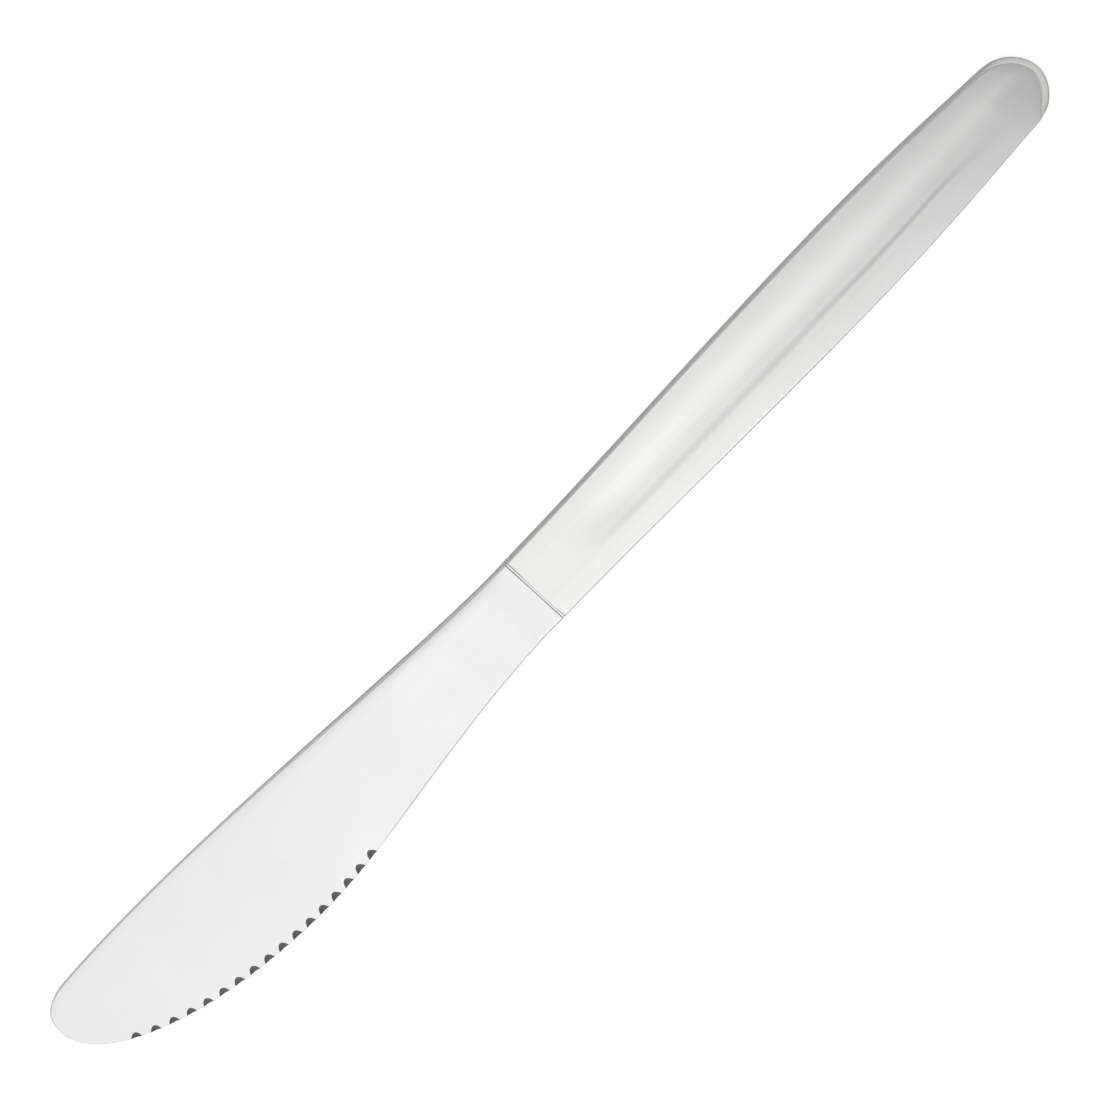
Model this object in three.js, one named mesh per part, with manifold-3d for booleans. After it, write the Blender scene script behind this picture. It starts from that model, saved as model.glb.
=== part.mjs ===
// Dessert knife with a hollow handle. Millimetres, lying flat with +Z up: +X runs from the tip of the
// blade to the end of the handle, and +Y from the cutting edge to the spine. Its pieces are the blade
// with its bolster and tang, the solder that closes the neck, the two pressed half shells of the handle
// and the cement that holds the tang inside them.
import * as THREE from 'three';
import { mergeVertices } from 'three/addons/utils/BufferGeometryUtils.js';
import Module from 'manifold-3d';

const wasm = await Module();
wasm.setup();

// Lengths along the knife
const BLADE_LENGTH = 92.8; // tip to the bolster's end face
const SOLDER_WIDTH = 0.35; // gap at the neck, filled with solder
const HANDLE_LENGTH = 102.05; // mouth to the rounded end

// Outline of the blade, measured from its tip and from the handle's axis
const TIP_HEIGHT = 4.7; // the foremost point lies nearer to the spine
const SHOULDER_FROM_TIP = 5.56; // where the round of the nose runs into the spine
const SHOULDER_HEIGHT = 9.44;
const SHOULDER_SLOPE = 0.05; // the spine still rises there
const BELLY_FROM_TIP = 39.8;
const BELLY_DEPTH = 10.28; // lowest point of the cutting edge
const NECK_WIDTH = 11.13; // the bolster's end and the handle's mouth

// Fullness of the outline's curves: how far each end holds its direction, as a share of the curve
const NOSE_FULLNESS = { tip: 0.35, shoulder: 0.95 };
const SPINE_FULLNESS = { shoulder: 0.328, neck: 0.254 };
const BELLY_FULLNESS = { tip: 0.54, belly: 0.542 };
const HEEL_FULLNESS = { belly: 0.275, neck: 0.414 };

// Thickness of the blade
const SPINE_AT_TIP = 1.3;
const SPINE_AT_NECK = 3.1;
const TAPER_FROM_TIP = 26; // the spine thickens from here
const TAPER_LENGTH = 46;
const EDGE_AT_TIP = 0.6;
const EDGE_AT_NECK = 2.6;
const HEEL_PAST_SCALLOPS = 1.6; // the edge thickens from this far behind the last scallop
const GRIND_FULLNESS = 2.6; // 1 grinds the faces flat, more leaves them fuller toward the edge
const SPINE_ROUND = 0.35;
const EDGE_ROUND = 0.12;
const BOLSTER_LENGTH = 6.5; // the neck swells to the handle's thickness over this length
const BOLSTER_FULLNESS = 2.2; // 1 swells evenly, more swells later

// Scallops ground into the front face of the cutting edge
const SCALLOP_COUNT = 17;
const SCALLOP_PITCH = 2.64;
const SCALLOP_FROM_TIP = 6.73; // middle of the first one
const SCALLOP_HEIGHT = 0.83;
const SCALLOP_RADIUS = 1.05;
const SCALLOP_TILT = THREE.MathUtils.degToRad(30); // between the grinding wheel's rim and the face

// Tang inside the handle
const TANG_LENGTH = 38; // past the mouth
const TANG_WIDTH = 6;
const TANG_THICKNESS = 1.2;
const NOTCH_COUNT = 3;
const NOTCH_PITCH = 9;
const NOTCH_FROM_MOUTH = 9.5;
const NOTCH_RADIUS = 0.9;

// Handle
const HANDLE_WIDTH = 13.12;
const HANDLE_THICKNESS = 4.4;
const WIDEST_FROM_MOUTH = 62.4;
const END_LENGTH = 5; // rounded end
const END_WIDTH = 10.75; // where the rounded end begins
const END_SLOPE = 0.034; // how fast the sides close in there
const SIDE_FULLNESS = { mouth: 0.32, widest: 0.415 };
const TAIL_FULLNESS = { widest: 0.485, end: 0.213 };
const END_FULLNESS = { side: 0.702, middle: 0.478 };
const HANDLE_EDGE_RADIUS = 0.35;
const END_DRAFT = 0.9; // the wall around the rounded end leans in this far up to the face
const END_DRAFT_START = 5; // it starts to lean this far from the end
const END_DRAFT_GROWTH = 2.4; // and leans in full after this length
const SHELL_WALL = 0.5;

// Shallow flute pressed into each face of the handle: an arc across it, level along it until near its ends
const FLUTE_DEPTH = 0.2;
const FLUTE_RADIUS = 17;
const FLUTE_LENGTH = 83;
const FLUTE_FROM_MOUTH = 53.5; // its middle
const FLUTE_FULLNESS = 8; // 2 makes it an even arc along the handle, more keeps it level for longer

// Solder ring and cement
const SOLDER_INSET = 0.05; // the solder lies a little below the surface
const SOLDER_DEPTH = 1.1; // how far it runs in from the surface
const CEMENT_GAP = 0.2; // to the shells and to the tang
const CEMENT_PAST_TANG = 8;

// Fineness of the surfaces
const NOSE_STEPS = 13;
const BLADE_STEP = 1.6;
const BOLSTER_STEPS = 8;
const CORNER_STEPS = 4;
const GRIND_STEPS = 3;
const CURVE_STEPS = 16;
const NOTCH_STEPS = 8;
const SCALLOP_SIDES = 24;
const FLUTE_ARC_STEPS = 10;
const FLUTE_STEPS = 36;
const CURVE_TOLERANCE = 1e-9; // of a curve's own parameter

// Allowances of the cutting shapes
const NOSE_FLAT = 0.06; // the foremost sliver of the nose is flat
const MIN_FILLET = 0.05;
const CORNER_SHARE = 0.45; // no rounded corner takes more of a side than this
const CUT_MARGIN = 4; // cutting shapes reach this far past what they cut
const FLUTE_LIFT = 0.3; // the flute's cutter spreads until it is this far above its own depth
const FLUTE_OVERRUN = 1.04; // and runs this far past the flute's ends, as a share of half its length
const ROOT_OVERLAP = 2; // the tang starts this far inside the bolster

const { clamp, lerp, smoothstep } = THREE.MathUtils;
const bolsterEnd = BLADE_LENGTH;
const bolsterStart = bolsterEnd - BOLSTER_LENGTH;
const mouth = bolsterEnd + SOLDER_WIDTH;
const handleEnd = mouth + HANDLE_LENGTH;
const neckHalf = NECK_WIDTH / 2;
const thicknessHalf = HANDLE_THICKNESS / 2;
const handleRound = Math.min(HANDLE_EDGE_RADIUS, CORNER_SHARE * HANDLE_THICKNESS);

const point = (x, y) => new THREE.Vector2(x, y);
const series = (count, make) => Array.from({ length: count }, (_, i) => make(i));

// Solids: a closed geometry as a body that can be joined and cut, and back again

function solid(geometry) {
  const plain = geometry.clone();
  plain.deleteAttribute('normal');
  plain.deleteAttribute('uv');
  const merged = mergeVertices(plain);
  const mesh = new wasm.Mesh({
    numProp: 3,
    vertProperties: merged.attributes.position.array,
    triVerts: new Uint32Array(merged.index.array),
  });
  return new wasm.Manifold(mesh);
}

function geometryOf(body) {
  const mesh = body.getMesh();
  const geometry = new THREE.BufferGeometry();
  geometry.setAttribute('position', new THREE.BufferAttribute(mesh.vertProperties, 3));
  geometry.setIndex(new THREE.BufferAttribute(mesh.triVerts, 1));
  geometry.computeVertexNormals();
  return geometry;
}

// A closed loft through rings of points, each counter-clockwise seen from the last one. The lid is the
// list of triangles that closes both ends; without one, a fan closes them.
function loft(rings, lid) {
  const size = rings[0].length;
  const geometry = new THREE.BufferGeometry().setFromPoints(rings.flat());
  const index = [];
  for (let ring = 0; ring + 1 < rings.length; ring++) {
    for (let i = 0; i < size; i++) {
      const a = ring * size + i;
      const b = ring * size + ((i + 1) % size);
      index.push(a, b, b + size, a, b + size, a + size);
    }
  }
  const last = (rings.length - 1) * size;
  for (const [a, b, c] of lid ?? series(size - 2, (i) => [0, i + 1, i + 2])) {
    index.push(a, c, b, last + a, last + b, last + c);
  }
  return geometry.setIndex(index);
}

// A block between two stations along the knife and two heights, wider than the knife
function slab(xFrom, xTo, zFrom, zTo) {
  const width = HANDLE_WIDTH + 2 * CUT_MARGIN;
  const block = new THREE.BoxGeometry(xTo - xFrom, width, zTo - zFrom);
  return solid(block.translate((xFrom + xTo) / 2, 0, (zFrom + zTo) / 2));
}

// Blade outline: the nose and the belly leave the tip upright, the nose meets the spine at its shoulder, and
// the other curves start and end level

function uprightCurve(from, to, fullness) {
  const leave = point(from.x, lerp(from.y, to.y, fullness[0]));
  const arrive = point(lerp(to.x, from.x, fullness[1]), to.y);
  return new THREE.CubicBezierCurve(from, leave, arrive, to);
}

function levelCurve(from, to, fullness) {
  const leave = point(lerp(from.x, to.x, fullness[0]), from.y);
  const arrive = point(lerp(to.x, from.x, fullness[1]), to.y);
  return new THREE.CubicBezierCurve(from, leave, arrive, to);
}

const tip = point(0, TIP_HEIGHT);
const shoulder = point(SHOULDER_FROM_TIP, SHOULDER_HEIGHT);
const belly = point(BELLY_FROM_TIP, -BELLY_DEPTH);
const spineLength = bolsterEnd - SHOULDER_FROM_TIP;
const alongShoulder = (run) => point(shoulder.x + run, shoulder.y + run * SHOULDER_SLOPE);
const spineCurves = [
  new THREE.CubicBezierCurve(
    tip,
    point(tip.x, lerp(tip.y, shoulder.y, NOSE_FULLNESS.tip)),
    alongShoulder(-NOSE_FULLNESS.shoulder * SHOULDER_FROM_TIP),
    shoulder,
  ),
  new THREE.CubicBezierCurve(
    shoulder,
    alongShoulder(SPINE_FULLNESS.shoulder * spineLength),
    point(bolsterEnd - SPINE_FULLNESS.neck * spineLength, neckHalf),
    point(bolsterEnd, neckHalf),
  ),
];
const edgeCurves = [
  uprightCurve(tip, belly, [BELLY_FULLNESS.tip, BELLY_FULLNESS.belly]),
  levelCurve(belly, point(bolsterEnd, -neckHalf), [HEEL_FULLNESS.belly, HEEL_FULLNESS.neck]),
];

// Height of an outline at a station, by halving the curve's own parameter
function heightAt(curves, x) {
  const curve = curves.find((candidate) => x <= candidate.v3.x) ?? curves.at(-1);
  let low = 0;
  let high = 1;
  while (high - low > CURVE_TOLERANCE) {
    const middle = (low + high) / 2;
    if (curve.getPoint(middle).x < x) {
      low = middle;
    } else {
      high = middle;
    }
  }
  return curve.getPoint(low).y;
}

const lastScallop = SCALLOP_FROM_TIP + (SCALLOP_COUNT - 1) * SCALLOP_PITCH;
const heelStart = lastScallop + HEEL_PAST_SCALLOPS;
const bolsterFlare = (x) => clamp((x - bolsterStart) / BOLSTER_LENGTH, 0, 1) ** BOLSTER_FULLNESS;

function spineThickness(x) {
  const taper = smoothstep(x, TAPER_FROM_TIP, TAPER_FROM_TIP + TAPER_LENGTH);
  return lerp(lerp(SPINE_AT_TIP, SPINE_AT_NECK, taper), HANDLE_THICKNESS, bolsterFlare(x));
}

function edgeThickness(x) {
  const heel = smoothstep(x, heelStart, bolsterStart);
  return lerp(lerp(EDGE_AT_TIP, EDGE_AT_NECK, heel), HANDLE_THICKNESS, bolsterFlare(x));
}

// One rounded corner of a section; quarter 0 faces +Y and +Z, and the others follow counter-clockwise
function corner(x, y, z, radius, quarter) {
  return series(CORNER_STEPS + 1, (i) => {
    const angle = ((quarter + i / CORNER_STEPS) * Math.PI) / 2;
    return new THREE.Vector3(x, y + radius * Math.cos(angle), z + radius * Math.sin(angle));
  });
}

// Section of the blade: a wedge with slightly convex faces and rounded corners
function bladeSection(x) {
  const station = Math.max(x, NOSE_FLAT);
  const top = heightAt(spineCurves, station);
  const bottom = heightAt(edgeCurves, station);
  const flare = bolsterFlare(x);
  const spine = spineThickness(x);
  const edge = edgeThickness(x);
  const room = CORNER_SHARE * (top - bottom);
  const spineRound = Math.min(lerp(SPINE_ROUND, handleRound, flare), CORNER_SHARE * spine, room);
  const edgeRound = Math.min(lerp(EDGE_ROUND, handleRound, flare), CORNER_SHARE * edge, room);
  const face = (share, side) => {
    const ground = lerp(1 - (1 - share) ** GRIND_FULLNESS, share, flare);
    return new THREE.Vector3(x, lerp(bottom, top, share), (side * lerp(edge, spine, ground)) / 2);
  };
  const shares = series(GRIND_STEPS - 1, (i) => (i + 1) / GRIND_STEPS);
  return [
    ...corner(x, top - spineRound, spine / 2 - spineRound, spineRound, 0),
    ...shares.toReversed().map((share) => face(share, 1)),
    ...corner(x, bottom + edgeRound, edge / 2 - edgeRound, edgeRound, 1),
    ...corner(x, bottom + edgeRound, edgeRound - edge / 2, edgeRound, 2),
    ...shares.map((share) => face(share, -1)),
    ...corner(x, top - spineRound, spineRound - spine / 2, spineRound, 3),
  ];
}

function bladeStations() {
  const nose = series(NOSE_STEPS, (i) => {
    return SHOULDER_FROM_TIP * (1 - Math.cos((i / NOSE_STEPS) * (Math.PI / 2)));
  });
  const steps = Math.round((bolsterStart - SHOULDER_FROM_TIP) / BLADE_STEP);
  const middle = series(steps, (i) => lerp(SHOULDER_FROM_TIP, bolsterStart, i / steps));
  const bolster = series(BOLSTER_STEPS + 1, (i) => lerp(bolsterStart, bolsterEnd, i / BOLSTER_STEPS));
  return [...nose, ...middle, ...bolster];
}

// Direction of the cutting edge at a station, over the width of a scallop
function edgeAngle(x) {
  const rise = heightAt(edgeCurves, x + SCALLOP_RADIUS) - heightAt(edgeCurves, x - SCALLOP_RADIUS);
  return Math.atan2(rise, 2 * SCALLOP_RADIUS);
}

// A round grinding rim, square to the edge and tilted to the front face, so that it leaves an arch there
function scallopCutter(x) {
  const up = SCALLOP_HEIGHT - SCALLOP_RADIUS * Math.sin(SCALLOP_TILT);
  const out = edgeThickness(x) / 2 + SCALLOP_RADIUS * Math.cos(SCALLOP_TILT);
  const rim = new THREE.CylinderGeometry(SCALLOP_RADIUS, SCALLOP_RADIUS, 2 * CUT_MARGIN, SCALLOP_SIDES);
  rim.rotateX(SCALLOP_TILT).translate(0, up, out).rotateZ(edgeAngle(x));
  return solid(rim.translate(x, heightAt(edgeCurves, x), 0));
}

// Tang: a flat bar with a round end and notches along both sides that key it into the cement
function tangOutline() {
  const half = TANG_WIDTH / 2;
  const start = bolsterEnd - ROOT_OVERLAP;
  const end = mouth + TANG_LENGTH;
  const notches = series(NOTCH_COUNT, (i) => mouth + NOTCH_FROM_MOUTH + i * NOTCH_PITCH);
  const outline = new THREE.Shape();
  outline.moveTo(start, -half);
  for (const x of notches) {
    outline.lineTo(x - NOTCH_RADIUS, -half);
    outline.absarc(x, -half, NOTCH_RADIUS, Math.PI, 0, true);
  }
  outline.lineTo(end - half, -half);
  outline.absarc(end - half, 0, half, -Math.PI / 2, Math.PI / 2, false);
  for (const x of notches.toReversed()) {
    outline.lineTo(x + NOTCH_RADIUS, half);
    outline.absarc(x, half, NOTCH_RADIUS, 0, Math.PI, true);
  }
  outline.lineTo(start, half);
  return outline;
}

// The tang, or with a gap around it the pocket that it leaves in the cement
function tangBody(gap) {
  const thickness = TANG_THICKNESS + 2 * gap;
  const bar = new THREE.ExtrudeGeometry(tangOutline(), {
    depth: thickness,
    curveSegments: NOTCH_STEPS,
    bevelEnabled: true,
    bevelSegments: 0,
    bevelThickness: 0,
    bevelSize: 0,
    bevelOffset: gap,
  });
  return solid(bar.translate(0, 0, -thickness / 2));
}

function bladeBody() {
  let body = solid(loft(bladeStations().map(bladeSection))).add(tangBody(0));
  for (let i = 0; i < SCALLOP_COUNT; i++) {
    body = body.subtract(scallopCutter(SCALLOP_FROM_TIP + i * SCALLOP_PITCH));
  }
  return body;
}

// Handle outline: one side from the mouth to the middle of the rounded end, and the same mirrored

function handleSide() {
  const widest = mouth + WIDEST_FROM_MOUTH;
  const endStart = handleEnd - END_LENGTH;
  const half = HANDLE_WIDTH / 2;
  const endHalf = END_WIDTH / 2;
  const closing = TAIL_FULLNESS.end * (endStart - widest);
  const rounding = END_FULLNESS.side * END_LENGTH;
  const shoulder = point(endStart, endHalf);
  return [
    levelCurve(point(mouth, neckHalf), point(widest, half), [SIDE_FULLNESS.mouth, SIDE_FULLNESS.widest]),
    new THREE.CubicBezierCurve(
      point(widest, half),
      point(lerp(widest, endStart, TAIL_FULLNESS.widest), half),
      point(endStart - closing, endHalf + closing * END_SLOPE),
      shoulder,
    ),
    new THREE.CubicBezierCurve(
      shoulder,
      point(endStart + rounding, endHalf - rounding * END_SLOPE),
      point(handleEnd, END_FULLNESS.middle * endHalf),
      point(handleEnd, 0),
    ),
  ];
}

function handleOutline() {
  const flip = (p) => point(p.x, -p.y);
  const side = handleSide();
  const backCorner = point(mouth - CUT_MARGIN, neckHalf);
  const outline = new THREE.Shape();
  outline.add(new THREE.LineCurve(flip(backCorner), flip(side[0].v0)));
  for (const { v0, v1, v2, v3 } of side) {
    outline.add(new THREE.CubicBezierCurve(flip(v0), flip(v1), flip(v2), flip(v3)));
  }
  for (const { v0, v1, v2, v3 } of side.toReversed()) {
    outline.add(new THREE.CubicBezierCurve(v3, v2, v1, v0));
  }
  outline.add(new THREE.LineCurve(side[0].v0, backCorner));
  return outline;
}

// The flute's cutter: rings of an arc that sinks into the face and rises out of it again
function fluteCutter(inset) {
  const radius = FLUTE_RADIUS + inset;
  const spread = Math.acos(1 - (FLUTE_DEPTH + FLUTE_LIFT) / radius);
  const top = thicknessHalf + CUT_MARGIN;
  const rings = series(FLUTE_STEPS + 1, (step) => {
    const along = FLUTE_OVERRUN * ((2 * step) / FLUTE_STEPS - 1);
    const x = mouth + FLUTE_FROM_MOUTH + (along * FLUTE_LENGTH) / 2;
    const depth = FLUTE_DEPTH * (1 - Math.abs(along) ** FLUTE_FULLNESS);
    const centre = thicknessHalf - depth + FLUTE_RADIUS;
    const arc = series(FLUTE_ARC_STEPS + 1, (i) => {
      const angle = spread * ((2 * i) / FLUTE_ARC_STEPS - 1);
      return new THREE.Vector3(x, radius * Math.sin(angle), centre - radius * Math.cos(angle));
    });
    const side = radius * Math.sin(spread);
    return [...arc, new THREE.Vector3(x, side, top), new THREE.Vector3(x, -side, top)];
  });
  return loft(rings);
}

// Directions into a form at the points of its counter-clockwise outline
function inwardNormals(outline) {
  return outline.map((_, i) => {
    const next = outline[(i + 1) % outline.length];
    const along = next.clone().sub(outline.at(i - 1)).normalize();
    return point(-along.y, along.x);
  });
}

// How far the handle's wall leans in on its way from the seam to the face: upright sides, a drafted end
function draft(x) {
  const start = handleEnd - END_DRAFT_START;
  return END_DRAFT * smoothstep(x, start, start + END_DRAFT_GROWTH);
}

// The handle's whole form, or the same form drawn in by an inset, with both flutes. Its rings follow the
// outline around the lower edge, along the seam and around the upper edge.
function handleForm(inset) {
  const outline = handleOutline().getPoints(CURVE_STEPS);
  const inward = inwardNormals(outline);
  const round = Math.max(handleRound - inset, MIN_FILLET);
  const ring = (height, drawnIn) => {
    return outline.map((p, i) => {
      const lean = (draft(p.x) * Math.abs(height)) / thicknessHalf;
      const { x, y } = p.clone().addScaledVector(inward[i], inset + lean + drawnIn);
      return new THREE.Vector3(x, y, height);
    });
  };
  const edge = (side, angle) => {
    const height = thicknessHalf - inset - round * (1 - Math.sin(angle));
    return ring(side * height, round * (1 - Math.cos(angle)));
  };
  const angles = series(CORNER_STEPS + 1, (i) => ((i / CORNER_STEPS) * Math.PI) / 2);
  const lower = angles.toReversed().map((angle) => edge(-1, angle));
  const upper = angles.map((angle) => edge(1, angle));
  const lid = THREE.ShapeUtils.triangulateShape(upper.at(-1), []);
  const flute = fluteCutter(inset);
  return solid(loft([...lower, ring(0, 0), ...upper], lid))
    .subtract(solid(flute))
    .subtract(solid(flute.clone().rotateX(Math.PI)));
}

// One pressing of the handle: the upper half of the form, hollow and open at the mouth and the seam
function shellBody() {
  const upperHalf = slab(mouth, handleEnd + CUT_MARGIN, 0, HANDLE_THICKNESS);
  return handleForm(0).subtract(handleForm(SHELL_WALL)).intersect(upperHalf);
}

function cementBody() {
  const start = mouth + CEMENT_GAP;
  const end = mouth + TANG_LENGTH + CEMENT_PAST_TANG;
  const stretch = slab(start, end, -HANDLE_THICKNESS, HANDLE_THICKNESS);
  return handleForm(SHELL_WALL + CEMENT_GAP).intersect(stretch).subtract(tangBody(CEMENT_GAP));
}

// Solder ring: the neck's section, a little below the surface, open in the middle for the tang

function neckSection(PathClass, inset) {
  const half = neckHalf - inset;
  const height = thicknessHalf - inset;
  const round = Math.max(handleRound - inset, MIN_FILLET);
  const path = new PathClass();
  path.moveTo(half, round - height);
  path.absarc(half - round, height - round, round, 0, Math.PI / 2);
  path.absarc(round - half, height - round, round, Math.PI / 2, Math.PI);
  path.absarc(round - half, round - height, round, Math.PI, 1.5 * Math.PI);
  path.absarc(half - round, round - height, round, 1.5 * Math.PI, 2 * Math.PI);
  return path;
}

function solderGeometry() {
  const section = neckSection(THREE.Shape, SOLDER_INSET);
  section.holes.push(neckSection(THREE.Path, SOLDER_INSET + SOLDER_DEPTH));
  const ring = new THREE.ExtrudeGeometry(section, {
    depth: SOLDER_WIDTH,
    curveSegments: CORNER_STEPS,
    bevelEnabled: false,
  });
  const acrossToY = new THREE.Vector3(0, 1, 0);
  const upToZ = new THREE.Vector3(0, 0, 1);
  const depthToX = new THREE.Vector3(1, 0, 0);
  ring.applyMatrix4(new THREE.Matrix4().makeBasis(acrossToY, upToZ, depthToX));
  return ring.translate(bolsterEnd, 0, 0);
}

// Materials
const bladeSteel = new THREE.MeshStandardMaterial({ color: 0xd4d3d1, roughness: 0.23, metalness: 1 });
const handleSteel = new THREE.MeshStandardMaterial({ color: 0xd4d3d0, roughness: 0.23, metalness: 1 });
const solderMetal = new THREE.MeshStandardMaterial({ color: 0xe2ddd0, roughness: 0.35, metalness: 1 });
const cementGrey = new THREE.MeshStandardMaterial({ color: 0x8f8b84, roughness: 0.95, metalness: 0 });

function piece(name, geometry, material) {
  const mesh = new THREE.Mesh(geometry, material);
  mesh.name = name;
  return mesh;
}

// Assembly: the two shells are the same pressing, one turned over to close the other
const shellGeometry = geometryOf(shellBody());
const backShell = piece('handle_back_shell', shellGeometry, handleSteel);
backShell.rotation.x = Math.PI;

const knife = new THREE.Group();
knife.add(
  piece('blade', geometryOf(bladeBody()), bladeSteel),
  piece('neck_solder', solderGeometry(), solderMetal),
  piece('handle_front_shell', shellGeometry, handleSteel),
  backShell,
  piece('tang_cement', geometryOf(cementBody()), cementGrey),
);

// The origin lies under the middle of the knife, on the surface that it rests on
const box = new THREE.Box3().setFromObject(knife, true);
const middle = box.getCenter(new THREE.Vector3());
knife.position.set(-middle.x, -middle.y, -box.min.z);

export default knife;
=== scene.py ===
"""Dessert knife: fine meshes, steel finishes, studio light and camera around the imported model, in metres."""

import math

import bmesh
import bpy
import numpy as np
from mathutils import Matrix, Vector


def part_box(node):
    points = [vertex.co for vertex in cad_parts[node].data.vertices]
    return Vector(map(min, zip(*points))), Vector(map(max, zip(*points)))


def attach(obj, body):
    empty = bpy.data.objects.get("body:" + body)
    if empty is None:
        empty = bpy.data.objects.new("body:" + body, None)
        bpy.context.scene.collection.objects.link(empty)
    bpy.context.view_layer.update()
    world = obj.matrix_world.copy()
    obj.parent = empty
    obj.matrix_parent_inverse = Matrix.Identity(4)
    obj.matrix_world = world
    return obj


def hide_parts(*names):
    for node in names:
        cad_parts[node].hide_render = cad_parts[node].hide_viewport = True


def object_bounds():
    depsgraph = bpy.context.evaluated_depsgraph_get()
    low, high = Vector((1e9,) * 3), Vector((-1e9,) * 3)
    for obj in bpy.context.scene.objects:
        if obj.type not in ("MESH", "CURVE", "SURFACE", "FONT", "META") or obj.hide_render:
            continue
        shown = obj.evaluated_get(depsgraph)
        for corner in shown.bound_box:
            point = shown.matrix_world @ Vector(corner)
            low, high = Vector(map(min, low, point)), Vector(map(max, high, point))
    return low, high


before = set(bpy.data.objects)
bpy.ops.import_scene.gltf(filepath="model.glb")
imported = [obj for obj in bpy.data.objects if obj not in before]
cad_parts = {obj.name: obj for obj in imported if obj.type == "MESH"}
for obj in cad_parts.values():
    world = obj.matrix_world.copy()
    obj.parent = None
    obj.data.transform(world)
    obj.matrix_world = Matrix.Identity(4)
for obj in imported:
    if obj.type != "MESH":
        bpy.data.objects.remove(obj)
cad_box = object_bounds()

MM = 0.001

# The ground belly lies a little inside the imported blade's
BELLY_RISE = 0.08 * MM

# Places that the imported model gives
blade_low, blade_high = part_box("blade")
solder_low, solder_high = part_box("neck_solder")
shell_low, shell_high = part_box("handle_front_shell")
TIP_X = blade_low.x
JOINT_X = solder_low.x
MOUTH_X = solder_high.x
END_X = shell_high.x
TANG_END_X = blade_high.x
AXIS_Y = (shell_low.y + shell_high.y) / 2
SEAM_Z = shell_low.z
HALF_THICK = shell_high.z - SEAM_Z
HALF_WIDE = shell_high.y - AXIS_Y
BELLY_DEPTH = AXIS_Y - blade_low.y - BELLY_RISE
SOLDER_INSET = shell_high.z - solder_high.z
NECK_HALF = solder_high.y - AXIS_Y + SOLDER_INSET

# Outline of the blade, from its tip and from the handle's axis, with the fullness of each curve's two ends
TIP_HEIGHT = 4.7 * MM
SHOULDER_FROM_TIP = 5.56 * MM
SHOULDER_HEIGHT = 9.3 * MM
SHOULDER_SLOPE = 0.05
BELLY_FROM_TIP = 39.8 * MM
NOSE_FULLNESS = (0.35, 0.95)
SPINE_FULLNESS = (0.328, 0.254)
BELLY_FULLNESS = (0.54, 0.542)
HEEL_FULLNESS = (0.275, 0.414)

# Thickness of the blade; a pair gives a change's start and end
SPINE_AT_TIP = 1.3 * MM
SPINE_AT_NECK = 3.1 * MM
TAPER_FROM_TIP = 26 * MM
TAPER_LENGTH = 46 * MM
EDGE_AT_TIP = 0.6 * MM
EDGE_AT_NECK = 2.6 * MM
HEEL_FROM_TIP = 50.57 * MM
GRIND_FULLNESS = (2.6, 1.2)
GRIND_CHANGE_FROM_TIP = (28 * MM, 60 * MM)
SPINE_ROUND = 0.2 * MM
SPINE_FALL = (0.06 * MM, 0.26 * MM)
SPINE_FALL_WIDTH = 1.5 * MM
EDGE_ROUND = (0.12 * MM, 0.3 * MM)
EDGE_ROUND_FROM_TIP = (49 * MM, 57 * MM)
NOSE_ROUND = 0.28 * MM
NOSE_ROUND_FROM_TIP = (7 * MM, 2 * MM)
BOLSTER_LENGTH = 6.5 * MM
BOLSTER_FULLNESS = 2.2
NOSE_PLANE_FROM_TIP = 12 * MM
NOSE_POLE_FROM_TIP = 6 * MM

# Scallops ground into the front face of the cutting edge; the first ones are lower
SCALLOP_COUNT = 17
SCALLOP_PITCH = 2.64 * MM
SCALLOP_FROM_TIP = 6.8 * MM
SCALLOP_HEIGHT = (0.8 * MM, 0.93 * MM)
SCALLOP_CHANGE_FROM_TIP = (12 * MM, 24 * MM)
SCALLOP_RADIUS = 1.05 * MM
SCALLOP_TILT = math.radians(30)
SCALLOP_REACH = 4 * MM

# Tang
TANG_HALF = 3 * MM
TANG_THICK = 1.2 * MM
TANG_ROOT = 2 * MM
NOTCH_COUNT = 3
NOTCH_PITCH = 9 * MM
NOTCH_FROM_MOUTH = 9.5 * MM
NOTCH_RADIUS = 0.9 * MM

# Handle; a pair of rounds or drafts is for the cutting edge's side and for the spine's
WIDEST_FROM_MOUTH = 62.4 * MM
END_LENGTH = 5 * MM
END_HALF = 5.29 * MM
END_SLOPE = 0.034
SIDE_FULLNESS = (0.32, 0.415)
TAIL_FULLNESS = (0.485, 0.213)
END_FULLNESS = (0.58, 0.42)
RIM_ROUND = (0.35 * MM, 0.2 * MM)
END_DRAFT = (0.9 * MM, 0.45 * MM)
END_DRAFT_START = (5 * MM, 7 * MM)
END_DRAFT_FULL = 2.6 * MM
END_FALL = 0.13 * MM
END_FALL_LENGTH = 9 * MM
SHELL_WALL = 0.5 * MM
INNER_ROUND = 0.1 * MM
FACE_FALL = 0.07 * MM
FACE_FALL_WIDTH = 3 * MM
END_POLE_FROM_END = 5.3 * MM

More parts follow.
